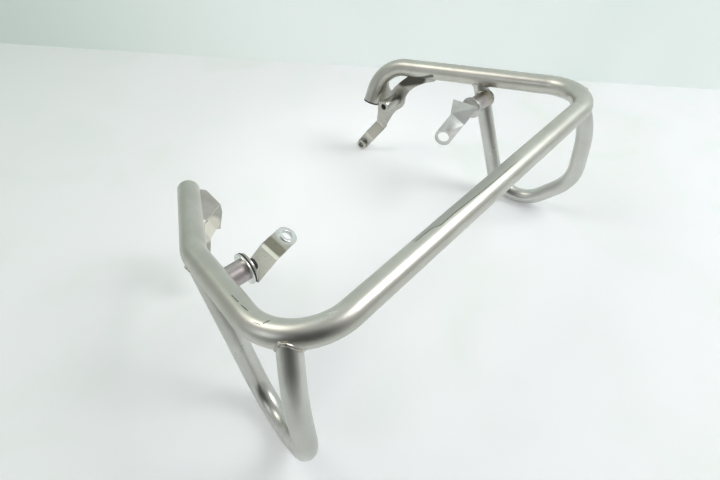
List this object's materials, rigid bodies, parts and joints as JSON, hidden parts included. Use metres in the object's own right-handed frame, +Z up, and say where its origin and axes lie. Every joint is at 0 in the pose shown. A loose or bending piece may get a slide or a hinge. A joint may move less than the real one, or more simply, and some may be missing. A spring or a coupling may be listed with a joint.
{
  "type": "motorcycle crash bars",
  "caption": "Bent tubular engine guard with a welded side loop under each arm, stub mounts with bent straps, and rear brackets.",
  "frame": {"origin": "middle of the footprint box, on the floor the bars rest on", "axes": "+X to the rider's left along the cross tube, +Y rearward, +Z up"},
  "size_m": [0.6298, 0.3925, 0.2431],
  "materials": {
    "tube_steel": "satin stainless, scuffed",
    "bright_steel": "bright washed steel",
    "tinted_steel": "satin steel, purple and brown heat tint",
    "weld": "rippled weld metal",
    "black_rubber": "matt black rubber",
    "black_bolt": "black oxide, satin",
    "black_plug": "matt black plastic"
  },
  "bodies": {
    "root": {"main_tube": "tube_steel", "right_loop": "tube_steel", "left_loop": "tube_steel", "right_front_weld": "weld", "left_front_weld": "weld", "right_rear_weld": "weld", "left_rear_weld": "weld", "right_bush": "tinted_steel", "left_bush": "tinted_steel", "right_bush_weld": "weld", "left_bush_weld": "weld", "right_flange": "bright_steel", "left_flange": "bright_steel", "right_rubber": "black_rubber", "left_rubber": "black_rubber", "right_strap": "tube_steel", "left_strap": "bright_steel", "right_bolt": "black_bolt", "tab_washer": "bright_steel", "left_plate": "tube_steel", "left_long_boss": "tube_steel", "left_small_boss": "tube_steel", "left_plug": "black_plug", "right_bracket": "tube_steel"}
  },
  "joints": []
}
